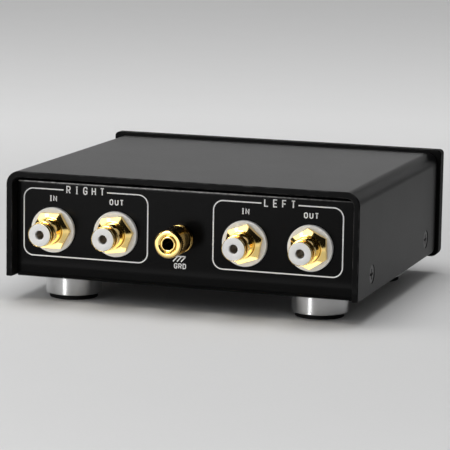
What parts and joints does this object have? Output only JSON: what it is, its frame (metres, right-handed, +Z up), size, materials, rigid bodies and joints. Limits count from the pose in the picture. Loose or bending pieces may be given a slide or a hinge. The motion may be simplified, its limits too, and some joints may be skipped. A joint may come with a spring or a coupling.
{
  "type": "moving coil step-up transformer",
  "caption": "Low black audio box on turned metal feet, with gold phono sockets and a knurled ground post on its recessed rear panel.",
  "frame": {"origin": "on the floor, under the middle of the overall box", "axes": "+X to the right of a person who looks at the front, +Y to the rear with the sockets, +Z up"},
  "size_m": [0.1326, 0.1262, 0.0479],
  "materials": {
    "cover_paint": "matt, fine texture",
    "panel_paint": "satin",
    "front_paint": "satin",
    "black_screw": "black oxide",
    "steel": "zinc plated",
    "foot_metal": "turned, bright",
    "pad_rubber": "matt",
    "gold": "gold plated, polished",
    "white_plastic": "moulded",
    "can_metal": "drawn shield alloy",
    "lamination": "stacked sheet",
    "bobbin_plastic": "moulded",
    "copper": "enamelled wire",
    "lead_sleeve": "insulated wire"
  },
  "bodies": {
    "case": {"top_cover": "cover_paint", "chassis": "panel_paint", "front_panel": "front_paint", "front_panel_screws": "steel", "cover_screws": "black_screw", "foot_rear_right": "foot_metal", "foot_rear_left": "foot_metal", "foot_front_right": "foot_metal", "foot_front_left": "foot_metal", "pad_rear_right": "pad_rubber", "pad_rear_left": "pad_rubber", "pad_front_right": "pad_rubber", "pad_front_left": "pad_rubber", "foot_screws": "steel", "foot_nuts": "steel", "right_in_shell": "gold", "right_out_shell": "gold", "left_in_shell": "gold", "left_out_shell": "gold", "right_in_insulator": "white_plastic", "right_out_insulator": "white_plastic", "left_in_insulator": "white_plastic", "left_out_insulator": "white_plastic", "right_in_contact": "steel", "right_out_contact": "steel", "left_in_contact": "steel", "left_out_contact": "steel", "socket_nuts": "gold", "socket_washers": "white_plastic", "socket_bushes": "white_plastic", "socket_tags": "steel", "ground_stud": "gold", "ground_nut": "steel", "right_can": "can_metal", "left_can": "can_metal", "right_can_base": "can_metal", "left_can_base": "can_metal", "right_grommet": "pad_rubber", "left_grommet": "pad_rubber", "right_core": "lamination", "left_core": "lamination", "right_bobbin": "bobbin_plastic", "left_bobbin": "bobbin_plastic", "right_primary": "copper", "left_primary": "copper", "right_secondary": "copper", "left_secondary": "copper", "can_screws": "steel", "right_in_lead": "lead_sleeve", "right_out_lead": "lead_sleeve", "left_in_lead": "lead_sleeve", "left_out_lead": "lead_sleeve"},
    "clamp": {"clamp_washer": "gold"},
    "knob": {"ground_knob": "gold"}
  },
  "joints": [
    {"name": "clamp_slide", "type": "slide", "parent": "case", "child": "clamp", "axis": [0, 1, 0], "range_m": [0, 0.0032]},
    {"name": "knob_turn", "type": "hinge", "parent": "clamp", "child": "knob", "pos_m": [0.0009, 0.05655, 0.0262], "axis": [0, 1, 0], "range_deg": [0, 1440]}
  ],
  "couplings": [
    {"joint": "knob_turn", "follows": "clamp_slide", "rad_per_m": 7854}
  ]
}
